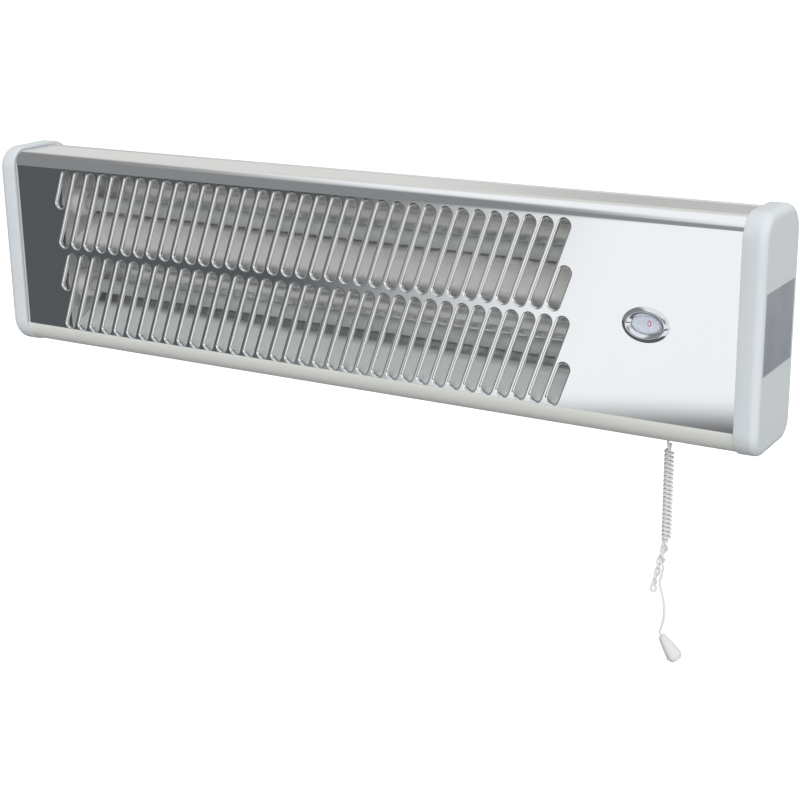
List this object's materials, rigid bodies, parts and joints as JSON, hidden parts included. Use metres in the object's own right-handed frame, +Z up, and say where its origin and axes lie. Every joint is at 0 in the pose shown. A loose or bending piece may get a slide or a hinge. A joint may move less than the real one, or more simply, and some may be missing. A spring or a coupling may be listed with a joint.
{
  "type": "infrared wall heater",
  "caption": "Wall-mounted quartz infrared heater with a slotted steel front, plastic end caps, a tilting wall bracket and a pull-cord switch with an indicator window.",
  "frame": {"origin": "centre of the wall bracket's back face, midway between its two screw holes", "axes": "+X to the right along the heater as its front is seen, +Y into the wall, +Z up; the front faces -Y"},
  "size_m": [0.5029, 0.0935, 0.2594],
  "materials": {
    "panel_steel": "polished stainless steel",
    "casing_steel": "brushed stainless steel",
    "cap_plastic": "pale blue-grey satin plastic",
    "label_silver": "blank silver-grey plate",
    "zinc": "zinc-plated steel",
    "bracket_steel": "bright steel sheet",
    "mirror_aluminium": "polished aluminium",
    "quartz": "milky quartz glass",
    "coil_wire": "resistance wire",
    "steatite": "unglazed white ceramic",
    "brass": "plain brass",
    "bezel_chrome": "polished chrome",
    "lens_plastic": "clear window",
    "dark_plastic": "black moulded plastic",
    "nylon": "natural nylon",
    "indicator_white": "white plastic with red numbers",
    "spring_steel": "spring steel wire",
    "cord_white": "white twisted cord",
    "bush_rubber": "white bush",
    "knob_white": "white moulded plastic",
    "wire_brown": "brown insulation",
    "wire_blue": "blue insulation",
    "wire_red": "red insulation",
    "wire_black": "black insulation",
    "wire_green": "green and yellow insulation"
  },
  "bodies": {
    "wall_mount": {"wall_bracket": "zinc"},
    "heater": {"front_panel": "panel_steel", "rear_casing": "casing_steel", "left_end_cap": "cap_plastic", "right_end_cap": "cap_plastic", "rating_plate": "label_silver", "cap_screws": "zinc", "casing_screws": "zinc", "left_tube_bracket": "bracket_steel", "right_tube_bracket": "bracket_steel", "bracket_screws": "zinc", "upper_reflector": "mirror_aluminium", "lower_reflector": "mirror_aluminium", "upper_quartz_tube": "quartz", "lower_quartz_tube": "quartz", "upper_heating_coil": "coil_wire", "lower_heating_coil": "coil_wire", "upper_left_ceramic": "steatite", "upper_right_ceramic": "steatite", "lower_left_ceramic": "steatite", "lower_right_ceramic": "steatite", "left_tube_terminals": "brass", "right_tube_terminals": "brass", "window_bezel": "bezel_chrome", "window_lens": "lens_plastic", "switch_bracket": "zinc", "switch_bracket_screws": "zinc", "switch_body": "dark_plastic", "switch_contacts": "brass", "return_spring": "spring_steel", "cord_bush": "bush_rubber", "terminal_block": "nylon", "terminal_screws": "brass", "cable_gland": "dark_plastic", "earth_stud": "brass", "live_wire": "wire_brown", "neutral_wire": "wire_blue", "jumper_wire": "wire_blue", "upper_wire": "wire_red", "lower_wire": "wire_black", "earth_wire": "wire_green", "hinge_bracket": "zinc", "hinge_bracket_screws": "zinc", "pivot_screws": "zinc", "pivot_washers": "zinc", "pivot_nuts": "zinc"},
    "indicator": {"switch_shaft": "brass", "switch_cam": "nylon", "indicator_wheel": "indicator_white", "ratchet_wheel": "brass"},
    "pull_wheel": {"pull_drum": "nylon", "drive_pawl": "zinc", "cord_wrap": "cord_white"},
    "cord_slide": {"cord_lead": "cord_white"},
    "cord_hang": {"cord_winding": "cord_white", "cord_tail": "cord_white", "pull_knob": "knob_white"}
  },
  "joints": [
    {"name": "tilt", "type": "hinge", "parent": "wall_mount", "child": "heater", "pos_m": [0, -0.028, 0], "axis": [1, 0, 0], "range_deg": [0, 30]},
    {"name": "indicator_turn", "type": "hinge", "parent": "heater", "child": "indicator", "pos_m": [0.1895, -0.0665, -0.016], "axis": [0, 1, 0], "continuous": true},
    {"name": "pull", "type": "slide", "parent": "heater", "child": "cord_slide", "axis": [0, 0, -1], "range_m": [0, 0.00984], "stiffness_N_per_m": 1300, "springref_m": -0.004},
    {"name": "drum_turn", "type": "hinge", "parent": "heater", "child": "pull_wheel", "pos_m": [0.1895, -0.0665, -0.016], "axis": [0, 1, 0], "range_deg": [0, 120]},
    {"name": "cord_swing", "type": "hinge", "parent": "cord_slide", "child": "cord_hang", "pos_m": [0.1942, -0.0665, -0.0665], "axis": [1, 0, 0], "range_deg": [-30, 0]}
  ],
  "couplings": [
    {"joint": "drum_turn", "follows": "pull", "rad_per_m": 212.77},
    {"joint": "cord_swing", "follows": "tilt", "ratio": -1}
  ]
}
